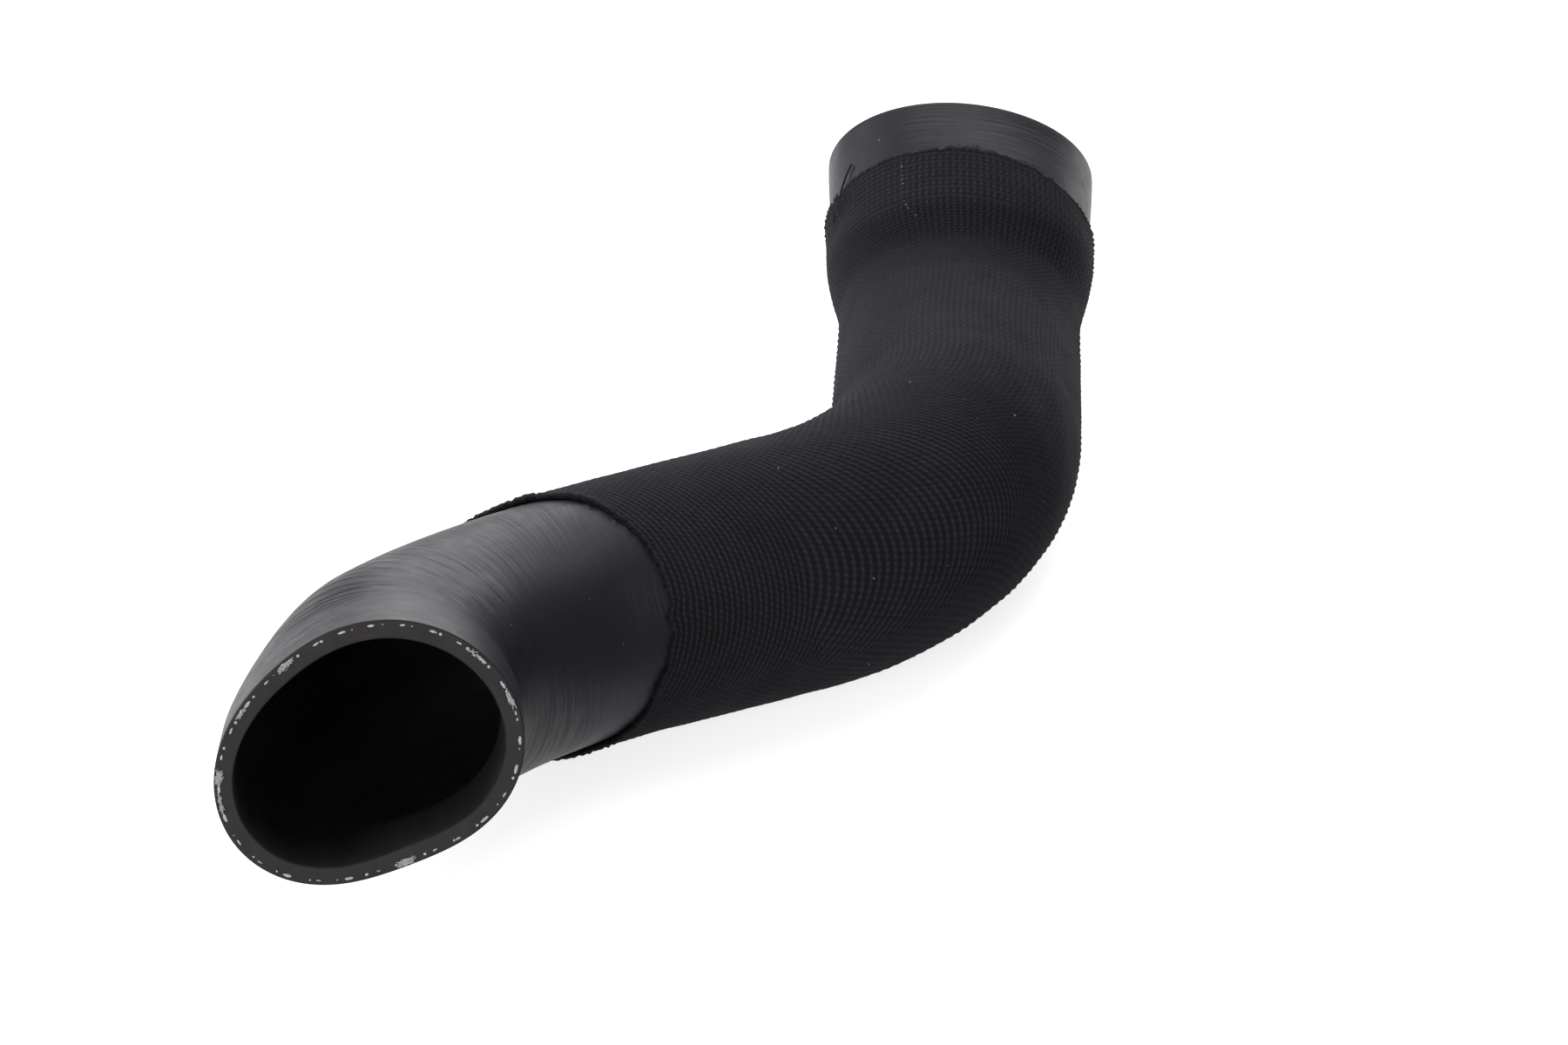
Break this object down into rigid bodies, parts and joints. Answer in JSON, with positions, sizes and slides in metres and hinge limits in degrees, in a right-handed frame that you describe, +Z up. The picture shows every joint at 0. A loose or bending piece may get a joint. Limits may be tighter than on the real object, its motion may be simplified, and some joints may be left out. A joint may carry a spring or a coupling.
{
  "type": "turbo hose",
  "caption": "Preformed rubber charge air hose with three bends, an egg-shaped inlet mouth, a flared outlet cuff and a knitted textile sleeve over its middle.",
  "frame": {"origin": "under the middle of the hose's box, on the surface that it lies on", "axes": "+Z up, +Y the way the neck runs towards the outlet cuff, +X to the right seen from the inlet mouth"},
  "size_m": [0.2218, 0.3164, 0.0945],
  "materials": {
    "moulded_rubber": "satin, fine wrap lines",
    "knitted_textile": "matt knit"
  },
  "bodies": {
    "root": {"rubber_hose": "moulded_rubber", "textile_sleeve": "knitted_textile"}
  },
  "joints": []
}
